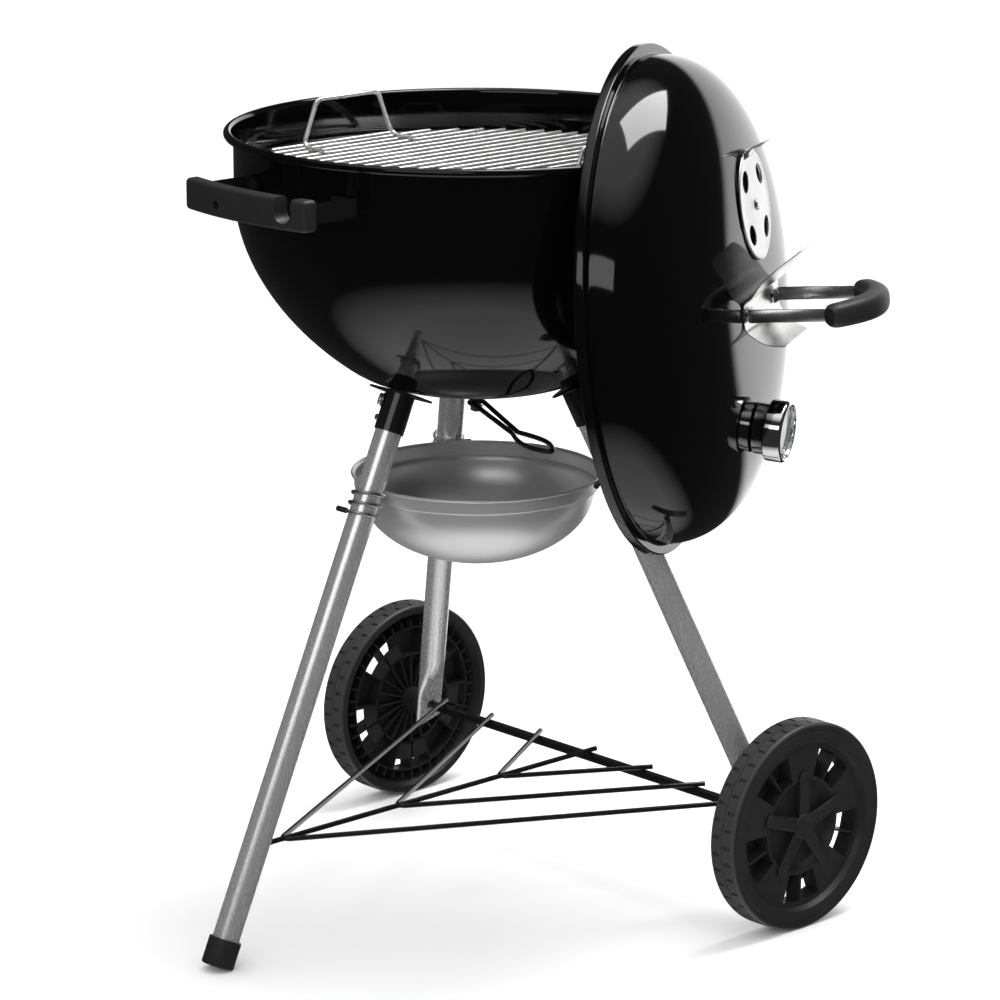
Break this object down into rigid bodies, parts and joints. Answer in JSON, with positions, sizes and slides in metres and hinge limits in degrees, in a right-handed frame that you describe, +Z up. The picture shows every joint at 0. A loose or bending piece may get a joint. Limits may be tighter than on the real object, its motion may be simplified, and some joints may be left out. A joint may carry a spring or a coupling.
{
  "type": "kettle charcoal grill",
  "caption": "Round kettle charcoal grill on tripod legs with two wheels, wire grates, ash pan and bottom rack, its domed lid hung on the bowl's rim.",
  "frame": {"origin": "middle of the overall box, on the floor", "axes": "+Z up, the wheel axle along X at +Y, the single front foot towards -Y"},
  "size_m": [0.6494, 0.6368, 0.8334],
  "materials": {
    "black_enamel": "gloss enamel",
    "plated_wire": "bright plated",
    "bright_zinc": "zinc plated",
    "leg_steel": "satin galvanised",
    "aluminium": "satin",
    "chrome_trim": "mirror polished",
    "dial_card": "printed, matt",
    "gauge_glass": "clear",
    "black_nylon": "fine grain",
    "wheel_plastic": "satin moulded",
    "black_steel": "satin black"
  },
  "bodies": {
    "stand": {"axle": "black_steel", "axle_clip_left": "bright_zinc", "axle_clip_right": "bright_zinc", "bottom_rack": "black_steel", "bowl": "black_enamel", "bowl_handle_grip": "black_nylon", "bowl_handle_strap_left": "black_steel", "bowl_handle_strap_right": "black_steel", "charcoal_grate_bracket_1": "black_enamel", "charcoal_grate_bracket_2": "black_enamel", "charcoal_grate_bracket_3": "black_enamel", "cooking_grate_bracket_1": "black_enamel", "cooking_grate_bracket_2": "black_enamel", "cooking_grate_bracket_3": "black_enamel", "foot_cap": "black_nylon", "front_leg": "leg_steel", "leg_socket_front": "black_steel", "leg_socket_left": "black_steel", "leg_socket_right": "black_steel", "pan_clamp_front": "bright_zinc", "pan_clamp_left": "bright_zinc", "pan_clamp_right": "bright_zinc", "socket_bolt_front": "bright_zinc", "socket_bolt_left": "bright_zinc", "socket_bolt_right": "bright_zinc", "sweeper_bushing": "leg_steel", "wheel_leg_left": "leg_steel", "wheel_leg_right": "leg_steel"},
    "cooking_grate": {"cooking_grate": "plated_wire"},
    "charcoal_grate": {"charcoal_grate": "black_steel"},
    "sweeper": {"ash_sweeper": "leg_steel", "sweeper_shaft": "leg_steel", "sweeper_nut": "bright_zinc", "sweeper_lever": "black_steel"},
    "wheel_left": {"wheel_left": "wheel_plastic", "hub_cap_left": "wheel_plastic"},
    "wheel_right": {"wheel_right": "wheel_plastic", "hub_cap_right": "wheel_plastic"},
    "ash_pan": {"ash_pan": "aluminium"},
    "snap_button_front": {"snap_button_front": "bright_zinc"},
    "snap_button_left": {"snap_button_left": "bright_zinc"},
    "snap_button_right": {"snap_button_right": "bright_zinc"},
    "lid": {"lid": "black_enamel", "lid_hook": "leg_steel", "damper_rivet": "bright_zinc", "lid_handle_strap_left": "bright_zinc", "lid_handle_strap_right": "bright_zinc", "lid_handle_grip": "black_nylon", "heat_shield": "plated_wire", "lid_handle_bolt_left": "bright_zinc", "lid_handle_bolt_right": "bright_zinc", "thermometer_bezel": "chrome_trim", "thermometer_dial": "dial_card", "thermometer_glass": "gauge_glass", "thermometer_probe": "bright_zinc", "thermometer_nut": "bright_zinc"},
    "lid_damper": {"lid_damper": "aluminium"},
    "thermometer_pointer": {"thermometer_pointer": "black_steel"}
  },
  "joints": [
    {"name": "lid_lift", "type": "slide", "parent": "stand", "child": "lid", "axis": [0.6172, 0.345, 0.7071], "range_m": [0, 0.6]},
    {"name": "lid_damper_turn", "type": "hinge", "parent": "lid", "child": "lid_damper", "pos_m": [0.19568, 0.16053, 0.69005], "axis": [0.8572, 0.4893, 0.1604], "range_deg": [0, 45]},
    {"name": "thermometer_pointer_turn", "type": "hinge", "parent": "lid", "child": "thermometer_pointer", "pos_m": [0.22187, 0.1408, 0.48745], "axis": [-0.8833, -0.4629, 0.0744], "range_deg": [0, 240], "stiffness_Nm_per_rad": 0.0005},
    {"name": "cooking_grate_lift", "type": "slide", "parent": "stand", "child": "cooking_grate", "axis": [0, 0, 1], "range_m": [0, 0.02]},
    {"name": "charcoal_grate_lift", "type": "slide", "parent": "stand", "child": "charcoal_grate", "axis": [0, 0, 1], "range_m": [0, 0.1]},
    {"name": "sweeper_turn", "type": "hinge", "parent": "stand", "child": "sweeper", "pos_m": [-0.03148, 0.02212, 0.505], "axis": [0, 0, 1], "range_deg": [-55, 18]},
    {"name": "ash_pan_drop", "type": "slide", "parent": "stand", "child": "ash_pan", "axis": [0, 0, -1], "range_m": [0, 0.22]},
    {"name": "wheel_left_spin", "type": "hinge", "parent": "stand", "child": "wheel_left", "pos_m": [-0.29508, 0.17532, 0.1008], "axis": [1, 0, 0], "continuous": true},
    {"name": "wheel_right_spin", "type": "hinge", "parent": "stand", "child": "wheel_right", "pos_m": [0.23212, 0.17532, 0.1008], "axis": [1, 0, 0], "continuous": true},
    {"name": "snap_button_front_press", "type": "slide", "parent": "stand", "child": "snap_button_front", "axis": [0.5878, 0.7364, -0.335], "range_m": [0, 0.0035], "stiffness_N_per_m": 400},
    {"name": "snap_button_left_press", "type": "slide", "parent": "stand", "child": "snap_button_left", "axis": [0.126, -0.9479, -0.2926], "range_m": [0, 0.0035], "stiffness_N_per_m": 400},
    {"name": "snap_button_right_press", "type": "slide", "parent": "stand", "child": "snap_button_right", "axis": [-0.126, -0.9479, -0.2926], "range_m": [0, 0.0035], "stiffness_N_per_m": 400}
  ]
}
